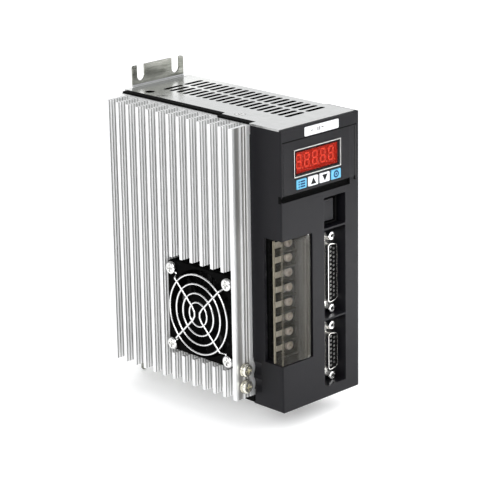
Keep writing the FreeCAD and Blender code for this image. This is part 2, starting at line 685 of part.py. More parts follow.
def terminal_block():
    """Barrier strip: a body with a raised wall between poles and a high back on the right."""
    low = BLOCK_MIDDLE - POLES * POLE_PITCH / 2 - BARRIER / 2
    high = BLOCK_MIDDLE + POLES * POLE_PITCH / 2 + BARRIER / 2
    body = box(BLOCK_ACROSS, (PLATE_Y[1] + 0.02, 23.7), (low, high))
    back = box((BLOCK_BACK_X, BLOCK_ACROSS[1]), (10.4, 14.5), (low, high))
    walls = []
    for k in range(POLES + 1):
        z = BLOCK_MIDDLE + (k - POLES / 2) * POLE_PITCH
        wall = box((3.4, BLOCK_BACK_X + 0.4), (9.0, 14.5), (z - BARRIER / 2, z + BARRIER / 2))
        walls.append(rounded(wall, 1.2, "z", lambda m: m.x < 4 and m.y < 10))
    body = body.multiFuse([back] + walls)
    holes = [rod("y", (SCREW_X, pole_z(k)), 1.95, (13.0, 21.0)) for k in range(POLES)]
    return cut_each(body, holes)


def terminal_plates():
    """Clamping plates: a narrow tongue towards the wires, wider under the screw."""
    solids = []
    for k in range(POLES):
        z = pole_z(k)
        tongue = box((SCREW_X - 10.1, SCREW_X - 2.0), PLATE_Y, (z - 2.0, z + 2.0))
        seat = box((SCREW_X - 3.1, SCREW_X + 3.2), PLATE_Y, (z - 3.1, z + 3.1))
        solids.append(tongue.fuse(seat).cut(rod("y", (SCREW_X, z), 2.0, (12, 16))))
    return group(solids)


def terminal_screws():
    screw = pan_screw(2.8, 2.2, 1.85, 6.4)
    return group([placed(screw, OUT_FRONT, V(SCREW_X, PLATE_Y[0], pole_z(k))) for k in range(POLES)])


def terminal_cover():
    """Clear cover wrapped round the housing's corner, with a hinge barrel on its right edge."""
    z = (BAY_BOTTOM + 0.7, BAY_TOP - 0.8)
    face = box((0.0, HINGE_X), (0.0, 1.5), z)
    wing = box((0.0, 1.5), (0.0, 7.7), z)
    body = face.fuse(wing).removeSplitter()
    body = rounded(body, 1.0, "z", lambda m: m.x < 0.1 and m.y < 0.1)
    barrel = rod("z", (HINGE_X, HINGE_Y), 1.6, z)
    rib = box((19.6, 20.6), (1.4, 2.4), (z[0] + 2, z[1] - 2))
    body = body.multiFuse([barrel, rib])
    for span in ((z[0] - 1, z[0] + 5.2), (z[1] - 5.2, z[1] + 1)):
        body = body.cut(rod("z", (HINGE_X, HINGE_Y), PIN + 0.06, span))
    return body


def hinge_pins():
    low = rod("z", (HINGE_X, HINGE_Y), PIN, (BAY_BOTTOM - 3.9, BAY_BOTTOM + 4.6))
    high = rod("z", (HINGE_X, HINGE_Y), PIN, (BAY_TOP - 4.6, BAY_TOP + 3.9))
    return group([low, high])


# ---- fan ----------------------------------------------------------------------------------
def fan_frame():
    half = FAN_SIZE / 2
    body = box((FAN_FRONT, FAN_BACK), (FAN_Y - half, FAN_Y + half), (FAN_Z - half, FAN_Z + half))
    body = rounded(body, 3.0, "x")
    body = body.cut(rod("x", FAN_CENTRE, BORE, (FAN_FRONT - 1, FAN_BACK - 1.2)))
    window = ring("x", FAN_CENTRE, BORE, HUB + 0.6, (FAN_BACK - 2, FAN_BACK + 1))
    arms = []
    for k in range(4):
        arm = box((FAN_BACK - 3, FAN_BACK + 2), (FAN_Y, FAN_Y + 40), (FAN_Z - 1.6, FAN_Z + 1.6))
        arm.rotate(V(0, FAN_Y, FAN_Z), V(1, 0, 0), 45 + 90 * k)
        arms.append(arm)
    body = body.cut(cut_each(window, arms))
    tube = rod("x", FAN_CENTRE, 3.0, (-6.6, FAN_BACK - 1.2))
    body = body.fuse(tube).cut(rod("x", FAN_CENTRE, SHAFT + 0.06, (-8, -0.4)))
    for side in FAN_CORNERS:
        body = body.cut(rod("x", side, 2.15, (FAN_FRONT - 1, FAN_BACK + 1)))
    return body


def fan_stator():
    """Four-pole wound core round the bearing tube."""
    body = ring("x", FAN_CENTRE, 5.0, 3.02, (-6.2, -1.2))
    for k in range(4):
        arm = box((-5.2, -2.2), (FAN_Y + 3.6, FAN_Y + 9.0), (FAN_Z - 1.5, FAN_Z + 1.5))
        shoe = box((-5.6, -1.8), (FAN_Y + 8.0, FAN_Y + 9.8), (FAN_Z - 4.4, FAN_Z + 4.4))
        pole = arm.fuse(shoe)
        pole.rotate(V(0, FAN_Y, FAN_Z), V(1, 0, 0), 90 * k)
        body = body.fuse(pole)
    return body


def fan_impeller():
    """Hub cup and pitched blades."""
    cup = rod("x", FAN_CENTRE, HUB, (-8.8, -1.4))
    cup = rounded_rim(cup, "x", -8.8, 1.0)
    cup = cup.cut(rod("x", FAN_CENTRE, HUB - 1.3, (-7.5, 0.0)))
    boss = rod("x", FAN_CENTRE, 2.6, (-7.6, -7.0))
    blades = []
    for k in range(BLADES):
        blade = box((-9.6, -0.4), (HUB - 0.8 + FAN_Y, FAN_Y + 28.0), (FAN_Z - 0.5, FAN_Z + 0.5))
        middle = V(-5.0, FAN_Y, FAN_Z)
        blade.rotate(middle, V(0, 1, 0), BLADE_PITCH)
        blade.rotate(middle, V(1, 0, 0), 360.0 / BLADES * k)
        blades.append(blade)
    limit = rod("x", FAN_CENTRE, 27.5, (-8.5, -1.7)).cut(rod("x", FAN_CENTRE, HUB - 0.6, (-9, 0)))
    body = cup.fuse(boss)
    for blade in blades:
        body = body.fuse(blade.common(limit))
    return body.cut(rod("x", FAN_CENTRE, SHAFT, (-7.5, 0)))


def fan_shaft():
    return rod("x", FAN_CENTRE, SHAFT, (-7.5, -0.5))


def wire_run(points, radius):
    """Round wire through a list of points, with ball joints at its bends."""
    solids = []
    for a, b in zip(points, points[1:]):
        solids.append(Part.makeCylinder(radius, (b - a).Length, a, b - a))
    solids.extend(Part.makeSphere(radius, point) for point in points[1:-1])
    return solids


def fan_guard():
    """Four rings on two bent spokes, each ending in an eye under a fan screw."""
    solids = []
    for radius in GUARD_RINGS:
        solids.append(Part.makeTorus(radius, WIRE, V(GUARD_X, FAN_Y, FAN_Z), V(1, 0, 0)))
    for side in (-1, 1):
        points = []
        for up in (1, -1):
            eye = V(GUARD_EYE_X, FAN_Y + side * FAN_HOLE, FAN_Z + up * FAN_HOLE)
            inward = V(0, -side, -up).normalize()
            edge = eye + inward * EYE
            flat = eye + inward * 5.4
            ramp = V(GUARD_SPOKE_X, FAN_Y + side * 19.8, FAN_Z + up * 19.8)
            inner = V(GUARD_SPOKE_X, FAN_Y + side * 4.2, FAN_Z + up * 4.4)
            bend = V(GUARD_SPOKE_X, FAN_Y + side * 2.3, FAN_Z + up * 1.4)
            arm = [edge, flat, ramp, inner, bend]
            points = arm if up == 1 else points + arm[::-1]
            solids.append(Part.makeTorus(EYE, WIRE, eye, V(1, 0, 0)))
        solids.extend(wire_run(points, WIRE))
    return solids[0].multiFuse(solids[1:])


def fan_screws():
    screw = pan_screw(4.0, 2.1, 1.7, 17.0)
    seat = GUARD_EYE_X - WIRE
    return group([placed(screw, OUT_LEFT, V(seat, y, z)) for y, z in FAN_CORNERS])


# ---- ground terminals ---------------------------------------------------------------------
def ground_screws():
    screw = pan_screw(4.1, 2.6, 1.95, 5.6)
    return group([placed(screw, OUT_FRONT, V(x, FLANGE_FRONT - 0.82, z)) for x, z in GROUND_SCREWS])


def ground_washers():
    span = (FLANGE_FRONT - 0.8, FLANGE_FRONT - 0.02)
    return group([ring("y", (x, z), 4.5, 2.1, span) for x, z in GROUND_SCREWS])


# ---- electronics --------------------------------------------------------------------------
def power_board():
    board = box(POWER_BOARD_X, (29.0, BOARD_Y_BACK), (14.0, BOARD_TOP))
    holes = [rod("x", place, 1.6, (18, 24)) for place in STANDOFFS]
    return cut_each(board, holes)


def board_standoffs():
    solids = []
    for place in STANDOFFS:
        post = rod("x", place, 3.0, (BASE_INNER + 0.02, POWER_BOARD_X[0] - 0.02))
        stud = rod("x", place, 1.2, (BASE_INNER - 4.5, BASE_INNER + 0.1))
        solids.append(post.fuse(stud).cut(rod("x", place, 1.3, (15.0, 21.0))))
    return group(solids)


def board_pillars():
    """Long hex posts from the power board to the control board."""
    solids = []
    for place in STANDOFFS:
        post = rod("x", place, 2.9, (POWER_BOARD_X[1] + 0.02, CONTROL_BOARD_X[0] - 0.02))
        stud = rod("x", place, 1.25, (15.5, POWER_BOARD_X[1] + 0.1))
        solids.append(post.fuse(stud).cut(rod("x", place, 1.25, (48.0, 60.0))))
    return group(solids)


def control_board():
    board = box(CONTROL_BOARD_X, (13.0, BOARD_Y_BACK), (10.0, BOARD_TOP))
    holes = [rod("x", place, 1.6, (54, 60)) for place in STANDOFFS]
    return cut_each(board, holes)


def board_screws():
    """Screws of the control board, and the three smaller ones of the panel board."""
    screw = pan_screw(2.8, 1.8, 1.2, 6.5)
    solids = [placed(screw, OUT_RIGHT, V(CONTROL_BOARD_X[1], y, z)) for y, z in STANDOFFS]
    small = pan_screw(2.2, 1.4, 1.2, 3.4)
    for x, z in PANEL_BOARD_SCREWS:
        solids.append(placed(small, OUT_BACK, V(x, PANEL_BOARD_Y[1], z)))
    return group(solids)


def power_module():
    foot = BASE_INNER + PAD + 0.02
    body = box((foot, foot + MODULE_THICK), MODULE_Y, MODULE_Z)
    holes = [rod("x", place, 2.1, (8, 20)) for place in MODULE_SCREWS[:2]]
    pins = [rod("x", (y, z), 0.5, (foot + MODULE_THICK - 0.4, POWER_BOARD_X[0] - 0.05))
            for y in (59.6, 104.4) for z in range(68, 100, 5)]
    return cut_each(body, holes).multiFuse(pins)


def rectifier():
    foot = BASE_INNER + PAD + 0.02
    body = box((foot, foot + RECTIFIER_THICK), RECTIFIER_Y, RECTIFIER_Z)
    holes = [rod("x", place, 2.1, (8, 20)) for place in MODULE_SCREWS[2:]]
    return cut_each(body, holes)


def thermal_pads():
    solids = []
    pairs = ((MODULE_Y, MODULE_Z, MODULE_SCREWS[:2]),
             (RECTIFIER_Y, RECTIFIER_Z, MODULE_SCREWS[2:]))
    for y, z, screws in pairs:
        pad = box((BASE_INNER + 0.01, BASE_INNER + PAD), y, z)
        solids.append(cut_each(pad, [rod("x", place, 2.1, (8, 20)) for place in screws]))
    return group(solids)


def module_screws():
    solids = []
    for index, (y, z) in enumerate(MODULE_SCREWS):
        thick = MODULE_THICK if index < 2 else RECTIFIER_THICK
        seat = BASE_INNER + PAD + thick + 0.04
        screw = pan_screw(2.9, 1.5, 1.2, seat - BASE_INNER + 4.6)
        solids.append(placed(screw, OUT_RIGHT, V(seat, y, z)))
    return group(solids)


def bus_capacitors():
    solids = []
    for z in (34.0, 62.0, 90.0):
        can = rod("x", (60.0, z), 12.5, (POWER_PARTS_X, 52.0))
        can = rounded_rim(can, "x", 52.0, 1.2)
        groove = Part.makeTorus(12.7, 0.7, V(26.5, 60.0, z), V(1, 0, 0))
        solids.append(can.cut(groove))
    return group(solids)


def transformer():
    base = POWER_PARTS_X
    core = box((base + 2.0, base + 22.0), (88.0, 112.0), (34.0, 58.0))
    bobbin = box((base, base + 24.0), (91.0, 109.0), (30.0, 62.0))
    return core.fuse(bobbin)


def relay():
    base = POWER_PARTS_X
    body = box((base, base + 15.5), (92.0, 111.0), (72.0, 88.0))
    return rounded(body, 0.8, "x")


def brake_resistor():
    base = POWER_PARTS_X
    return box((base, base + 9.0), (82.0, 130.0), (132.0, 141.0))


def current_sensors():
    base = POWER_PARTS_X
    solids = []
    for z in (102.0, 120.0):
        body = box((base, base + 12.0), (94.0, 116.0), (z - 7.0, z + 7.0))
        solids.append(body.cut(rod("x", (105.0, z), 3.5, (base + 2.0, base + 20))))
    return group(solids)


def logic_chips():
    base = CONTROL_BOARD_X[1]
    places = ((70.0, 100.0, 12.0), (100.0, 100.0, 8.0), (70.0, 60.0, 7.0), (105.0, 60.0, 9.0),
              (90.0, 135.0, 6.0))
    return group([box((base + 0.05, base + 1.8), (y - s, y + s), (z - s, z + s))
                  for y, z, s in places])


def board_link():
    """Stacked header that joins the two boards."""
    return box((POWER_PARTS_X, CONTROL_BOARD_X[0] - 0.1), (128.0, 133.0), (70.0, 112.0))


# ---- build and write ----------------------------------------------------------------------
parts["heatsink"] = heatsink()
parts["top_cover"] = cover(True)
parts["bottom_cover"] = cover(False)
parts["side_panel"] = side_panel()
parts["rear_panel"] = rear_panel()
parts["rear_screws"] = rear_screws()
parts["rear_brackets"] = rear_brackets()
parts["cover_screws"] = cover_screws()
parts["edge_seals"] = edge_seals()
parts["front_housing"] = front_housing()
parts["operator_panel"] = operator_panel()
parts["display_bezel"] = display_bezel()
parts["display_lens"] = display_lens()
parts["display_module"] = display_module()
parts["display_segments"] = display_segments()
parts["nameplate"] = nameplate()
for button_name, button_x in zip(BUTTON_NAMES, BUTTON_X):
    parts[button_name] = button(button_x)
parts["panel_board"] = panel_board()
parts["tact_switches"] = tact_switches()
parts["io_connector_shell"] = dsub_shell(DSUB_LARGE_Z, DSUB_LARGE, JACK_LARGE)
parts["io_connector_insert"] = dsub_insert(DSUB_LARGE_Z, DSUB_LARGE)
parts["encoder_connector_shell"] = dsub_shell(DSUB_SMALL_Z, DSUB_SMALL, JACK_SMALL)
parts["encoder_connector_insert"] = dsub_insert(DSUB_SMALL_Z, DSUB_SMALL)
parts["connector_contacts"] = connector_contacts()
parts["jackscrews"] = jackscrews()
parts["comm_port"] = comm_port()
parts["comm_port_plug"] = comm_port_plug()
parts["comm_port_contacts"] = comm_port_contacts()
parts["terminal_block"] = terminal_block()
parts["terminal_plates"] = terminal_plates()
parts["terminal_screws"] = terminal_screws()
parts["terminal_cover"] = terminal_cover()
parts["hinge_pins"] = hinge_pins()
parts["fan_frame"] = fan_frame()
parts["fan_stator"] = fan_stator()
parts["fan_impeller"] = fan_impeller()
parts["fan_shaft"] = fan_shaft()
parts["fan_guard"] = fan_guard()
parts["fan_screws"] = fan_screws()
parts["ground_screws"] = ground_screws()
parts["ground_washers"] = ground_washers()
parts["power_board"] = power_board()
parts["board_standoffs"] = board_standoffs()
parts["board_pillars"] = board_pillars()
parts["control_board"] = control_board()
parts["board_screws"] = board_screws()
parts["power_module"] = power_module()
parts["rectifier"] = rectifier()
parts["thermal_pads"] = thermal_pads()
parts["module_screws"] = module_screws()
parts["bus_capacitors"] = bus_capacitors()
parts["transformer"] = transformer()
parts["relay"] = relay()
parts["brake_resistor"] = brake_resistor()
parts["current_sensors"] = current_sensors()
parts["logic_chips"] = logic_chips()
parts["board_link"] = board_link()

os.makedirs("parts", exist_ok=True)
for name, shape in parts.items():
    shape.translate(-ORIGIN)
    shape.exportStep("parts/" + name + ".step")
    print(name, len(shape.Solids), shape.isValid(), round(shape.Volume, 1))
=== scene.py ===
"""Looks of the servo drive: materials, small printed marks, studio floor, light and camera."""

import json
import math

import bmesh
import bpy
from mathutils import Matrix, Vector


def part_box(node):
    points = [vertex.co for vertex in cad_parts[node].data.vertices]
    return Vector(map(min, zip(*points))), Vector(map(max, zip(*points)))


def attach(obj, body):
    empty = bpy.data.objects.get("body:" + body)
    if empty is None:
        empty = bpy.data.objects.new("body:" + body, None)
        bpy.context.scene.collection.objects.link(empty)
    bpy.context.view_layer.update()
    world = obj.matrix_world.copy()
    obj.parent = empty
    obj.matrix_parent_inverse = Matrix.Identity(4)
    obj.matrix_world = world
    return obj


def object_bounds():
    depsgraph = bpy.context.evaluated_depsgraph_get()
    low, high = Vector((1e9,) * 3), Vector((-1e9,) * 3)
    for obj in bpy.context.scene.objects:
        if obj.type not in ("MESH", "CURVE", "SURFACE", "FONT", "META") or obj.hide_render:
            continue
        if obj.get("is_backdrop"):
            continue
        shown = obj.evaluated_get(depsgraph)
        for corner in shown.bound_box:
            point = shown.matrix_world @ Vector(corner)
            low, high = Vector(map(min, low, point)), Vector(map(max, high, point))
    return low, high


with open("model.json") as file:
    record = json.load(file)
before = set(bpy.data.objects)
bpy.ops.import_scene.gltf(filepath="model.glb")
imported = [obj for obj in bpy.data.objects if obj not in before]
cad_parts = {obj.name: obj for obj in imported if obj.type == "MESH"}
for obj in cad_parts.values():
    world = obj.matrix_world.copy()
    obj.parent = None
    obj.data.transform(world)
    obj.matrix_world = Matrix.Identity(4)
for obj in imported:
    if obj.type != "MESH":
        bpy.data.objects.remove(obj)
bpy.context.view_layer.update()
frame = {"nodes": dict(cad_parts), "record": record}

MM = 0.001
NODES = frame["nodes"]
# The frame's origin in housing coordinates: zero at the housing's lower left front corner,
# X to the right, Y to the back, Z up, in millimetres.
HOUSING_ORIGIN = (37.3, 148.0, 89.75)

# ---- places with a shade of their own, in housing coordinates -----------------------------
# Front housing
GROOVE_X = (-0.5, 66.0)         # painted shadow in the groove below the operator panel
GROOVE_Y = (0.25, 2.4)
GROOVE_Z = (133.6, 138.15)
SEAM_X = (1.5, 66.0)            # painted shade in the seam above the operator panel
SEAM_Y = (-0.2, 2.4)
SEAM_Z = (170.35, 171.05)
PANEL_WALL_X = (65.3, 65.6)     # painted highlight on the wall at the right of the operator panel
PANEL_WALL_Y = (0.03, 1.9)
PANEL_WALL_Z = (135.9, 170.6)

# Heatsink
RIPPLE = 2.1625                 # pitch of the ripples on the fins
FINS_X = (-13.9, 3.0)
FINS_Y = (29.6, 146.0)
FLANGE_GROOVE_X = (-13.3, -2.4)
FLANGE_GROOVE_Y = (26.5, 27.2)
RECESS_DEPTH = 12.0             # depth of the painted shade behind the fan frame

# Sheet metal
COVER_TOP = 179.1               # outer face of the top cover
COVER_BOTTOM = 0.4              # outer face of the bottom cover
EAR_RISE = 1.8                  # the ears' darker olive, painted shade, begins this far past the covers
VENTS_X = (7.5, 60.5)
VENTS_Y = (17.0, 135.5)
SHEET_REAR_Y = (108.0, 152.0)

# Display
BEZEL_LIT_X = (11.15, 51.85)
BEZEL_LIT_Z = (147.5, 164.7)
WINDOW_X = (13.7, 49.3)
WINDOW_Z = (149.6, 162.6)

# Terminals and their clear cover
PLATE_SHADE_X = (12.9, 22.5)
COVER_RIB_X = (19.5, 20.7)
COVER_RIB_Y = (-0.5, 2.6)
COVER_BARREL_X = (22.4, 23.2)
COVER_RIM_Y = (7.25, 8.0)
COVER_CORNER = (-0.5, 0.9)      # along X and along Y
COVER_DENSE_X = (13.5, 30.0)

# ---- other sizes, in millimetres ----------------------------------------------------------
SPARK_GRAIN = 0.22              # spark texture of the mouldings
SPARK_DEPTH = 0.006
MOULDED_EDGE = 0.25             # edge radii
SHEET_EDGE = 0.12
METAL_EDGE = 0.08
PRINTED_EDGE = 0.15
PRINT_FRONT = 0.020             # a printed mark lies between these heights above its face
PRINT_BACK = 0.002
FLOOR_GAP = 0.2


# ---- node building ------------------------------------------------------------------------
class Finish:
    """One procedural material on a Principled shader, in the object's own coordinates."""

    def __init__(self, name, **fixed):
        self.material = bpy.data.materials.new(name)
        self.material.use_nodes = True
        self.tree = self.material.node_tree
        self.shader = self.tree.nodes["Principled BSDF"]
        self.place = self.tree.nodes.new("ShaderNodeTexCoord").outputs["Object"]
        self.normal = None
        for key, value in fixed.items():
            self.shader.inputs[key.replace("_", " ")].default_value = value

    def add(self, kind, **fixed):
        node = self.tree.nodes.new(kind)
        for key, value in fixed.items():
            setattr(node, key, value)
        return node

    def link(self, source, target):
        self.tree.links.new(source, target)

    def stretched(self, stretch):
        mapping = self.add("ShaderNodeMapping")
        mapping.inputs["Scale"].default_value = stretch
        self.link(self.place, mapping.inputs["Vector"])
        return mapping.outputs["Vector"]

    def noise(self, size, detail=3.0, stretch=(1, 1, 1), roughness=0.55):
        """Noise whose features are about size millimetres across."""
        node = self.add("ShaderNodeTexNoise")
        node.inputs["Scale"].default_value = 1.0 / (size * MM)
        node.inputs["Detail"].default_value = detail
        node.inputs["Roughness"].default_value = roughness
        self.link(self.stretched(stretch), node.inputs["Vector"])
        return node.outputs["Fac"]

    def cells(self, size, feature="F1"):
        """Cells about size millimetres across."""
        node = self.add("ShaderNodeTexVoronoi", feature=feature)
        node.inputs["Scale"].default_value = 1.0 / (size * MM)
        self.link(self.place, node.inputs["Vector"])
        return node.outputs["Distance"]

    def waves(self, pitch):
        """Bands across X, pitch millimetres apart."""
        node = self.add("ShaderNodeTexWave", wave_type="BANDS", bands_direction="X",
                        wave_profile="SIN")
        # At a scale of 1 the bands repeat every pi / 10.
        node.inputs["Scale"].default_value = math.pi / 10 / (pitch * MM)
        self.link(self.place, node.inputs["Vector"])
        return node.outputs["Fac"]

    def span(self, source, low, high, start=0.3, end=0.7):
        """Maps source from start..end to low..high."""
        node = self.add("ShaderNodeMapRange")
        for key, value in zip(("From Min", "From Max", "To Min", "To Max"),
                              (start, end, low, high)):
            node.inputs[key].default_value = value
        self.link(source, node.inputs["Value"])
        return node.outputs["Result"]

    def math(self, operation, a, b):
        node = self.add("ShaderNodeMath", operation=operation)
        for socket, value in zip(node.inputs, (a, b)):
            if isinstance(value, (int, float)):
                socket.default_value = value
            else:
                self.link(value, socket)
        return node.outputs["Value"]

    def product(self, first, *others):
        for other in others:
            first = self.math("MULTIPLY", first, other)
        return first

    def greatest(self, first, *others):
        for other in others:
            first = self.math("MAXIMUM", first, other)
        return first

    def blend(self, factor, first, second):
        """Colour from first to second as factor goes from 0 to 1."""
        node = self.add("ShaderNodeMix", data_type="RGBA")
        self.link(factor, node.inputs["Factor"])
        for socket, value in ((node.inputs[6], first), (node.inputs[7], second)):
            if isinstance(value, (tuple, list)):
                socket.default_value = (*value[:3], 1.0)
            else:
                self.link(value, socket)
        return node.outputs[2]

    def within(self, axis, low, high, soft=0.1):
        """1 where the housing coordinate along an axis lies between low and high millimetres."""
        split = self.add("ShaderNodeSeparateXYZ")
        self.link(self.place, split.inputs["Vector"])
        shift = HOUSING_ORIGIN["XYZ".index(axis)]
        value = split.outputs[axis]
        edges = []
        for limit, way in ((low, 1), (high, -1)):
            centre = (limit - shift) * MM
            edges.append(self.span(value, 0.0, 1.0, centre - way * soft * MM,
                                   centre + way * soft * MM))
        return self.product(*edges)

    def inside(self, axis, low, high, margin=0.3):
        """1 between two places in metres on an axis of the frame, a margin in millimetres in."""
        shift = HOUSING_ORIGIN["XYZ".index(axis)]
        return self.within(axis, low / MM + shift + margin, high / MM + shift - margin)

    def upright_face(self):
        """1 on faces that stand upright and 0 on level ones."""
        split = self.add("ShaderNodeSeparateXYZ")
        self.link(self.add("ShaderNodeNewGeometry").outputs["True Normal"], split.inputs["Vector"])
        return self.span(self.math("ABSOLUTE", split.outputs["Z"], 0.0), 1.0, 0.0, 0.4, 0.6)

    def colour(self, source):
        self.link(source, self.shader.inputs["Base Color"])

    def rough(self, source):
        self.link(source, self.shader.inputs["Roughness"])

    def opacity(self, source):
        self.link(source, self.shader.inputs["Alpha"])

    def bump(self, height, depth):
        """Adds relief of depth millimetres."""
        node = self.add("ShaderNodeBump")
        node.inputs["Strength"].default_value = 1.0
        node.inputs["Distance"].default_value = depth * MM
        self.link(height, node.inputs["Height"])
        if self.normal:
            self.link(self.normal, node.inputs["Normal"])
        self.normal = node.outputs["Normal"]
        self.link(self.normal, self.shader.inputs["Normal"])

    def soft_edges(self, radius):
        """Rounds the look of sharp corners by radius millimetres."""
        node = self.add("ShaderNodeBevel", samples=4)
        node.inputs["Radius"].default_value = radius * MM
        self.normal = node.outputs["Normal"]
        self.link(self.normal, self.shader.inputs["Normal"])


def grey(value):
    return (value, value, value)


# ---- finishes -----------------------------------------------------------------------------
def moulded(name, dark, light, rough=(0.32, 0.42), specular=0.15):
    """Moulded plastic with a fine spark texture and slight marbling."""
    f = Finish(name, Specular_IOR_Level=specular)
    f.soft_edges(MOULDED_EDGE)
    f.colour(f.blend(f.noise(9.0, 4.0), dark, light))
    f.rough(f.span(f.noise(3.0, 5.0), *rough))
    f.bump(f.noise(SPARK_GRAIN, 2.0), SPARK_DEPTH)
    return f.material


def housing_plastic():
    """Charcoal moulding, with painted shade in the groove and seam round the operator panel and a
    painted highlight on the wall at its right.
    """
    f = Finish("housing_plastic", Specular_IOR_Level=0.15)
    f.soft_edges(MOULDED_EDGE)
    charcoal = f.blend(f.noise(9.0, 4.0), (0.0056, 0.0055, 0.0070), (0.0081, 0.0080, 0.0099))
    # Painted shade: the groove below and the seam above the operator panel are near black.
    groove = f.product(f.within("Z", *GROOVE_Z, 0.12), f.within("Y", *GROOVE_Y, 0.1),
                       f.within("X", *GROOVE_X))
    seam = f.product(f.within("Z", *SEAM_Z, 0.08), f.within("Y", *SEAM_Y, 0.1),
                     f.within("X", *SEAM_X))
    shade = f.greatest(groove, seam)
    # Painted highlight: the wall at the right of the operator panel is paler, as if lit.
    wall_highlight = f.product(f.within("X", *PANEL_WALL_X, 0.05), f.within("Y", *PANEL_WALL_Y, 0.02),
                     f.within("Z", *PANEL_WALL_Z, 0.1))
    f.colour(f.blend(shade, f.blend(wall_highlight, charcoal, grey(0.09)), grey(0.001)))
    f.rough(f.greatest(f.span(f.noise(3.0, 5.0), 0.32, 0.42), shade))
    f.bump(f.noise(SPARK_GRAIN, 2.0), SPARK_DEPTH)
    return f.material


def sink_aluminium():
    """Extruded aluminium with die lines, with painted shade in the ripple valleys, the flange
    grooves and the fan recess.
    """
    f = Finish("sink_aluminium", Metallic=0.5)
    die_lines = f.noise(0.35, 4.0, (1, 1, 0.004))
    blotch = f.span(f.noise(14.0, 4.0), 0.0, 0.2)
    tone = f.blend(die_lines, (0.80, 0.81, 0.81), (0.90, 0.90, 0.90))
    tone = f.blend(blotch, tone, grey(0.76))
    fins = f.product(f.within("X", *FINS_X), f.within("Y", *FINS_Y))
    # Painted shade: the ripple valleys of the fins and the grooves of the flange are darkened.
    valley = f.product(f.span(f.waves(RIPPLE), 0.0, 0.9, 0.62, 0.95), fins)
    grooves = f.product(f.within("X", *FLANGE_GROOVE_X), f.within("Y", *FLANGE_GROOVE_Y, 0.1))
    valley_shade = (0.28, 0.275, 0.265)
    tone = f.blend(f.greatest(valley, grooves), tone, valley_shade)
    # Painted shade: the space behind the fan frame is near black.
    low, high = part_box("fan_frame")
    recess = f.product(f.inside("Y", low.y, high.y), f.inside("Z", low.z, high.z),
                       f.inside("X", low.x, high.x + RECESS_DEPTH * MM))
    f.colour(f.blend(recess, tone, grey(0.01)))
    f.rough(f.span(die_lines, 0.34, 0.5))
    f.bump(die_lines, 0.02)
    f.bump(f.noise(0.12, 3.0, (1, 1, 0.02)), 0.006)
    return f.material


def plated_sheet():
    """Passivated zinc sheet with rolling marks. Painted shade makes the ears a darker olive, the
    upright sides darker than the flat and the vent walls dark; the flat is painted brighter
    towards the rear.
    """
    f = Finish("plated_sheet", Metallic=0.92)
    f.soft_edges(SHEET_EDGE)
    spangle = f.span(f.cells(7.0), 0.0, 1.0, 0.1, 0.8)
    roll = f.noise(0.6, 4.0, (1, 0.02, 0.02))
    flat = f.blend(spangle, (0.61, 0.62, 0.61), (0.65, 0.655, 0.65))
    flat = f.blend(f.span(roll, 0.0, 0.25), flat, (0.57, 0.58, 0.56))
    # Painted highlight: the flat is brighter towards the rear.
    rear_highlight = f.product(f.within("Y", *SHEET_REAR_Y, 15.0), 0.85)
    flat = f.blend(rear_highlight, flat, (0.97, 0.98, 0.95))
    # Brushing, with painted shade: upright faces are darker than the level flat.
    brushed = f.span(f.noise(1.4, 5.0, (1, 1, 0.02)), 0.0, 1.0)
    shaded_side = f.blend(brushed, (0.40, 0.405, 0.40), (0.46, 0.465, 0.46))
    # Brushed streaks; the ears are painted a darker olive than the flat, as shade.
    streak = f.span(f.noise(2.6, 6.0, (0.12, 1, 1), 0.7), 0.0, 1.0, 0.35, 0.65)
    shaded_ear = f.blend(streak, (0.13, 0.136, 0.113), (0.38, 0.385, 0.345))
    body = f.within("Z", COVER_BOTTOM - EAR_RISE, COVER_TOP + EAR_RISE, 0.3)
    tone = f.blend(body, shaded_ear, f.blend(f.upright_face(), flat, shaded_side))
    # Painted shade: the walls of the vent slots are near black.
    vent_shade = f.product(f.within("X", *VENTS_X), f.within("Y", *VENTS_Y), f.upright_face())
    f.colour(f.blend(vent_shade, tone, grey(0.003)))
    f.rough(f.span(roll, 0.17, 0.27))
    f.bump(roll, 0.0015)
    f.bump(f.noise(30.0, 2.0), 0.02)
    return f.material


def bright_metal(name, colour, rough=(0.16, 0.32), metallic=1.0):
    """Metal with faint darker stains."""
    f = Finish(name, Metallic=metallic)
    f.soft_edges(METAL_EDGE)
    stain = f.span(f.noise(1.2, 5.0), 0.0, 0.6)
    f.colour(f.blend(stain, colour, [c * 0.72 for c in colour]))
    f.rough(f.span(f.noise(0.5, 4.0), *rough))
    f.bump(f.noise(0.15, 3.0), 0.004)
    return f.material


def clamp_tin():
    """Tinned clamping plates, with painted shade in the bend and under each screw."""
    f = Finish("terminal_tin", Metallic=0.35)
    f.soft_edges(METAL_EDGE)
    stain = f.span(f.noise(1.2, 5.0), 0.0, 0.6)
    tin = f.blend(stain, (0.90, 0.82, 0.66), (0.65, 0.59, 0.48))
    # Painted shade: the plates are dark in the bend beside and under each screw.
    shaded = f.product(f.within("X", *PLATE_SHADE_X, 0.4), 0.85)
    f.colour(f.blend(shaded, tin, (0.03, 0.027, 0.022)))
    f.rough(f.span(f.noise(0.5, 4.0), 0.35, 0.5))
    f.bump(f.noise(0.15, 3.0), 0.004)
    return f.material


def bezel_silver():
    """Thin bright frame whose outer rim lies in shade."""
    f = Finish("bezel_silver", Metallic=0.8)
    f.soft_edges(METAL_EDGE)
    stain = f.span(f.noise(1.2, 5.0), 0.0, 0.6)
    silver = f.blend(stain, (0.58, 0.58, 0.56), (0.46, 0.46, 0.44))
    lit = f.product(f.within("X", *BEZEL_LIT_X), f.within("Z", *BEZEL_LIT_Z))
    f.colour(f.blend(lit, grey(0.01), silver))
    f.rough(f.span(f.noise(0.5, 4.0), 0.25, 0.4))
    f.bump(f.noise(0.15, 3.0), 0.004)
    return f.material


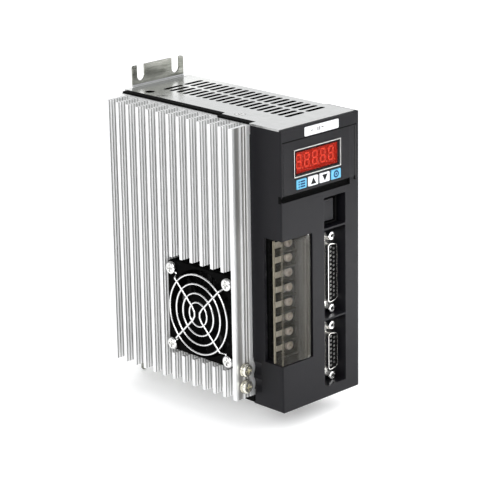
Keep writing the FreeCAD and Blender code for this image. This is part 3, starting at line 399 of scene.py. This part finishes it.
def black_rubber():
    """Dull black strips, one of them a dark sheet standing in for the shade in the gap between the
    housing and the heatsink flange.
    """
    f = Finish("black_rubber", Specular_IOR_Level=0.03)
    f.colour(f.blend(f.noise(2.0, 4.0), grey(0.002), grey(0.006)))
    f.rough(f.span(f.noise(0.8, 4.0), 0.6, 0.8))
    f.bump(f.noise(0.5, 4.0), 0.05)
    return f.material


def red_lens():
    """Red filter window with a dark printed border."""
    f = Finish("red_lens", Specular_IOR_Level=0.05)
    red = f.blend(f.noise(12.0, 2.0), (0.34, 0.012, 0.0045), (0.39, 0.015, 0.0055))
    window = f.product(f.within("X", *WINDOW_X, 0.15), f.within("Z", *WINDOW_Z, 0.15))
    f.colour(f.blend(window, (0.008, 0.003, 0.003), red))
    f.opacity(f.span(window, 0.95, 0.66, 0.0, 1.0))
    f.rough(f.span(f.noise(0.8, 3.0), 0.22, 0.32))
    f.bump(f.noise(3.0, 2.0), 0.004)
    return f.material


def lit_segment():
    """Display segment that glows red."""
    f = Finish("display_segment", Emission_Strength=4.0)
    glow = f.blend(f.noise(0.6, 2.0), (1.0, 0.12, 0.07), (1.0, 0.17, 0.10))
    f.colour(glow)
    f.link(glow, f.shader.inputs["Emission Color"])
    f.rough(f.span(f.noise(0.7, 3.0), 0.4, 0.5))
    return f.material


def clear_smoke():
    """Smoked clear plastic, with painted highlights on the rear rim, the rib, the corner and the
    barrel.
    """
    f = Finish("clear_smoke", Specular_IOR_Level=0.35)
    body = f.blend(f.noise(14.0, 3.0), (0.022, 0.020, 0.013), (0.034, 0.031, 0.022))
    # Painted highlights: the rear rim, rib, corner and barrel are paler and more opaque.
    rib = f.product(f.within("X", *COVER_RIB_X), f.within("Y", *COVER_RIB_Y))
    barrel = f.within("X", *COVER_BARREL_X, 0.2)
    rim = f.within("Y", *COVER_RIM_Y, 0.05)
    corner = f.product(f.within("X", *COVER_CORNER), f.within("Y", *COVER_CORNER))
    pale = f.greatest(f.product(rim, 0.5), f.product(rib, 0.12), f.product(corner, 0.28),
                      f.product(barrel, 0.12))
    f.colour(f.blend(pale, body, (0.62, 0.56, 0.42)))
    dense = f.blend(f.within("X", *COVER_DENSE_X, 3.0), grey(0.20), grey(0.52))
    f.opacity(f.greatest(dense, f.span(pale, 0.0, 0.95, 0.05, 0.6)))
    f.rough(f.span(f.noise(1.5, 4.0), 0.12, 0.22))
    f.bump(f.noise(9.0, 2.0), 0.03)
    return f.material


def printed(name, first, second, specular=0.3):
    """Ink or paint of two close tones."""
    f = Finish(name, Specular_IOR_Level=specular)
    f.soft_edges(PRINTED_EDGE)
    f.colour(f.blend(f.noise(1.4, 4.0), first, second))
    f.rough(f.span(f.noise(0.7, 4.0), 0.35, 0.5))
    f.bump(f.noise(0.25, 3.0), 0.006)
    return f.material


def label_white():
    """Blank label stock, faintly soiled."""
    f = Finish("label_white", Specular_IOR_Level=0.5)
    smudge = f.span(f.noise(1.1, 2.0, (1, 1, 0.6)), 0.0, 0.2, 0.62, 0.72)
    f.colour(f.blend(smudge, (0.84, 0.84, 0.86), (0.6, 0.6, 0.65)))
    f.rough(f.span(f.noise(0.9, 4.0), 0.3, 0.42))
    f.bump(f.noise(0.4, 3.0), 0.004)
    return f.material


def board_green():
    """Lacquered circuit board, green cells between thin paler tracks."""
    f = Finish("board_green", Coat_Weight=0.4, Coat_Roughness=0.15)
    tracks = f.span(f.cells(2.2, "DISTANCE_TO_EDGE"), 0.0, 1.0, 0.02, 0.10)
    f.colour(f.blend(tracks, (0.05, 0.27, 0.12), (0.012, 0.10, 0.04)))
    f.rough(f.span(f.noise(1.0, 3.0), 0.3, 0.45))
    f.bump(tracks, 0.03)
    return f.material


FINISHES = {
    "sink_aluminium": sink_aluminium(),
    "plated_sheet": plated_sheet(),
    "steel_screw": bright_metal("steel_screw", (0.86, 0.86, 0.85), (0.10, 0.24)),
    "black_rubber": black_rubber(),
    "housing_plastic": housing_plastic(),
    "bezel_silver": bezel_silver(),
    "red_lens": red_lens(),
    "display_grey": moulded("display_grey", grey(0.03), grey(0.05)),
    "display_segment": lit_segment(),
    "label_white": label_white(),
    "button_blue": printed("button_blue", (0.10, 0.40, 0.62), (0.14, 0.46, 0.68)),
    "button_white": printed("button_white", (0.80, 0.81, 0.84), (0.88, 0.89, 0.91)),
    "board_green": board_green(),
    "black_plastic": moulded("black_plastic", grey(0.003), grey(0.007), (0.5, 0.65), 0.0),
    "tin_plate": bright_metal("tin_plate", (0.86, 0.85, 0.82), (0.14, 0.26)),
    "gold_contact": bright_metal("gold_contact", (0.90, 0.66, 0.28), (0.2, 0.3)),
    # The connector contacts are painted much darker than bare tin, standing in for the shade
    # inside the connector insert.
    "contact_tin": bright_metal("contact_tin", (0.36, 0.36, 0.35), (0.3, 0.45)),
    "terminal_tin": clamp_tin(),
    "terminal_nickel": bright_metal("terminal_nickel", (1.0, 0.88, 0.74), (0.25, 0.4), 0.25),
    "clear_smoke": clear_smoke(),
    "copper_winding": bright_metal("copper_winding", (0.55, 0.25, 0.11), (0.3, 0.5)),
    "guard_wire": bright_metal("guard_wire", (0.92, 0.92, 0.92), (0.18, 0.3)),
    "brass_screw": bright_metal("brass_screw", (0.88, 0.86, 0.76), (0.15, 0.28), 0.9),
    "module_grey": moulded("module_grey", grey(0.05), grey(0.08)),
    "pad_grey": moulded("pad_grey", grey(0.20), grey(0.28)),
    "capacitor_sleeve": moulded("capacitor_sleeve", (0.02, 0.02, 0.05), (0.03, 0.03, 0.07),
                                (0.2, 0.3)),
    "ferrite_tape": printed("ferrite_tape", (0.60, 0.42, 0.05), (0.70, 0.50, 0.08)),
    "relay_blue": moulded("relay_blue", (0.02, 0.07, 0.30), (0.03, 0.09, 0.36)),
    "resistor_white": moulded("resistor_white", grey(0.72), grey(0.82), (0.6, 0.8)),
    "chip_black": moulded("chip_black", grey(0.01), grey(0.02)),
}

for subpart in frame["record"]["subparts"]:
    piece = NODES[subpart["node"]]
    finish = FINISHES[subpart["material_slot"]]
    if not piece.material_slots:
        piece.data.materials.append(finish)
    for material_slot in piece.material_slots:
        material_slot.material = finish


# ---- printed marks on the buttons and the label -------------------------------------------
def flat_mark(name, outlines, node, body, finish):
    """Printed shape on the front of a node: outlines are polygons in millimetres about the
    middle of its face, X to the right and Z up."""
    low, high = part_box(node)
    middle = (low + high) / 2
    front = low.y - PRINT_FRONT * MM
    mesh = bpy.data.meshes.new(name)
    shape = bmesh.new()
    for outline in outlines:
        corners = [shape.verts.new((middle.x + x * MM, front, middle.z + z * MM))
                   for x, z in outline]
        flat = shape.faces.new(corners)
        grown = bmesh.ops.extrude_face_region(shape, geom=[flat])
        moved = [v for v in grown["geom"] if isinstance(v, bmesh.types.BMVert)]
        bmesh.ops.translate(shape, verts=moved, vec=(0, (PRINT_FRONT - PRINT_BACK) * MM, 0))
    bmesh.ops.recalc_face_normals(shape, faces=shape.faces)
    shape.to_mesh(mesh)
    shape.free()
    mark = bpy.data.objects.new(name, mesh)
    bpy.context.collection.objects.link(mark)
    mesh.materials.append(finish)
    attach(mark, body)


def bar(x, z, wide, tall):
    """Outline of a rectangle about its middle."""
    return [(x - wide / 2, z - tall / 2), (x + wide / 2, z - tall / 2),
            (x + wide / 2, z + tall / 2), (x - wide / 2, z + tall / 2)]


def ring(outer, inner, steps):
    """Outlines of the four-sided pieces that make a ring about the middle."""
    outlines = []
    for k in range(steps):
        a, b = (2 * math.pi * (k + j) / steps for j in (0, 1))
        outlines.append([(r * math.cos(t), r * math.sin(t))
                         for r, t in ((inner, a), (outer, a), (outer, b), (inner, b))])
    return outlines


ink_navy = printed("ink_navy", (0.006, 0.030, 0.09), (0.010, 0.042, 0.12), specular=0.1)
ink_black = printed("ink_black", grey(0.008), grey(0.014), specular=0.1)
UP = [(-2.4, -2.0), (2.4, -2.0), (0.0, 2.2)]
DOWN = [(x, -z) for x, z in reversed(UP)]
flat_mark("up_arrow", [UP], "up_button", "up_button", ink_black)
flat_mark("down_arrow", [DOWN], "down_button", "down_button", ink_black)

MENU_ROWS = (-1.6, 0.0, 1.6)
menu_lines = [bar(0.8, z, 4.0, 0.95) for z in MENU_ROWS]
menu_dots = [bar(-2.4, z, 1.1, 0.95) for z in MENU_ROWS]
flat_mark("mode_icon", menu_lines + menu_dots, "mode_button", "mode_button",
          ink_navy)
flat_mark("set_icon", ring(2.3, 1.35, 24) + ring(0.75, 0.01, 16), "set_button", "set_button",
          ink_navy)

ink_grey = printed("ink_grey", grey(0.06), grey(0.09), specular=0.1)
dashes = [bar(-8.6, 0.0, 1.8, 0.6), bar(0.6, 0.5, 1.8, 0.6)]
strokes = [bar(x, 0.1, 0.8, 2.2) for x in (-3.4, -1.8)]
flat_mark("label_marks", dashes + strokes, "nameplate", "drive", ink_grey)


# ---- studio -------------------------------------------------------------------------------
def studio():
    """Pale floor under an even, slightly cool sky."""
    scene = bpy.context.scene
    scene.view_settings.view_transform = "Standard"
    world = bpy.data.worlds.new("studio")
    scene.world = world
    world.use_nodes = True
    background = world.node_tree.nodes["Background"]
    background.inputs["Color"].default_value = (0.97, 0.98, 1.0, 1.0)
    background.inputs["Strength"].default_value = 0.42

    low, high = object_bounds()
    bpy.ops.mesh.primitive_plane_add(size=14.0, location=(0, 0, low.z - FLOOR_GAP * MM))
    floor = bpy.context.object
    floor.name = "floor"
    pale = Finish("floor_pale", Specular_IOR_Level=0.2, Emission_Strength=0.24)
    pale.material.cycles.emission_sampling = "NONE"
    pale.colour(pale.blend(pale.noise(300.0, 2.0), grey(0.90), grey(0.92)))
    pale.rough(pale.span(pale.noise(40.0, 2.0), 0.6, 0.7))
    floor.data.materials.append(pale.material)
    floor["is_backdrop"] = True


def toward(azimuth, elevation):
    """Direction from the object to a place round it; azimuth 0 is the front."""
    a, e = math.radians(azimuth), math.radians(elevation)
    return Vector((math.sin(a) * math.cos(e), -math.cos(a) * math.cos(e), math.sin(e)))


def hang(light, azimuth, elevation, distance, mirrored):
    """Puts a light on a sphere round the object, facing its middle. One that isn't mirrored
    lights the object without showing in it."""
    low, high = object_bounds()
    back = toward(azimuth, elevation)
    lamp = bpy.data.objects.new(light.name, light)
    lamp.location = (low + high) / 2 + back * distance
    lamp.rotation_mode = "QUATERNION"
    lamp.rotation_quaternion = (-back).to_track_quat("-Z", "Y")
    lamp.visible_glossy = mirrored
    bpy.context.collection.objects.link(lamp)


def square_light(name, size, radiance):
    light = bpy.data.lights.new(name, "AREA")
    light.shape = "SQUARE"
    light.size = size
    light.energy = radiance * size * size * math.pi
    return light


def softbox(name, azimuth, elevation, radiance, distance=1.7, size=1.0, colour=(1, 1, 1),
            mirrored=True):
    light = square_light(name, size, radiance)
    light.color = colour
    hang(light, azimuth, elevation, distance, mirrored)


def floor_pool(name, x, y, height, size, radiance):
    """A square light that faces straight down and brightens the floor below it."""
    low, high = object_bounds()
    lamp = bpy.data.objects.new(name, square_light(name, size, radiance))
    lamp.location = (x, y, low.z + height)
    lamp.visible_camera = False
    bpy.context.collection.objects.link(lamp)


def overhead(name, azimuth, elevation, spread, strength):
    """A broad distant light that keeps the floor evenly bright."""
    light = bpy.data.lights.new(name, "SUN")
    light.angle = math.radians(spread)
    light.energy = strength
    hang(light, azimuth, elevation, distance=3.0, mirrored=False)


# ---- camera -------------------------------------------------------------------------------
CAMERA_AZIMUTH = -44.16
CAMERA_ELEVATION = 17.38
CAMERA_ROLL = -1.03
CAMERA_LENS = 159.25
CAMERA_SENSOR = 36.0
CAMERA_PLACE = Vector((-0.8978, -0.9985, 0.4010))


def photographer():
    """Camera at its place, turned to its azimuth, elevation and roll."""
    back = toward(CAMERA_AZIMUTH, CAMERA_ELEVATION)
    r = math.radians(CAMERA_ROLL)
    right = Vector((0, 0, 1)).cross(back).normalized()
    up = back.cross(right)
    right, up = (math.cos(r) * right + math.sin(r) * up, math.cos(r) * up - math.sin(r) * right)
    turn = Matrix((right, up, back)).transposed()
    data = bpy.data.cameras.new("camera")
    data.sensor_width = CAMERA_SENSOR
    data.lens = CAMERA_LENS
    camera = bpy.data.objects.new("camera", data)
    camera.matrix_world = Matrix.Translation(CAMERA_PLACE) @ turn.to_4x4()
    bpy.context.collection.objects.link(camera)
    bpy.context.scene.camera = camera


COOL_WHITE = (0.95, 0.94, 1.0)

studio()
overhead("overhead", azimuth=80.0, elevation=74.0, spread=100.0, strength=1.75)
softbox("key", azimuth=-62.0, elevation=30.0, radiance=5.4)
# Only part of the front light shows in the metal. The part that does hangs a little nearer,
# because of two lights at one place only one can be seen in a reflection.
softbox("front_fill", azimuth=44.0, elevation=0.0, radiance=1.2, colour=COOL_WHITE,
        mirrored=False)
softbox("front_sheen", azimuth=44.0, elevation=0.0, radiance=0.9, distance=1.6,
        colour=COOL_WHITE)
floor_pool("front_right_floor", x=0.23, y=-0.385, height=0.18, size=0.18, radiance=13.0)
softbox("back_right", azimuth=136.0, elevation=22.0, radiance=0.60, distance=1.8, size=1.1)
photographer()
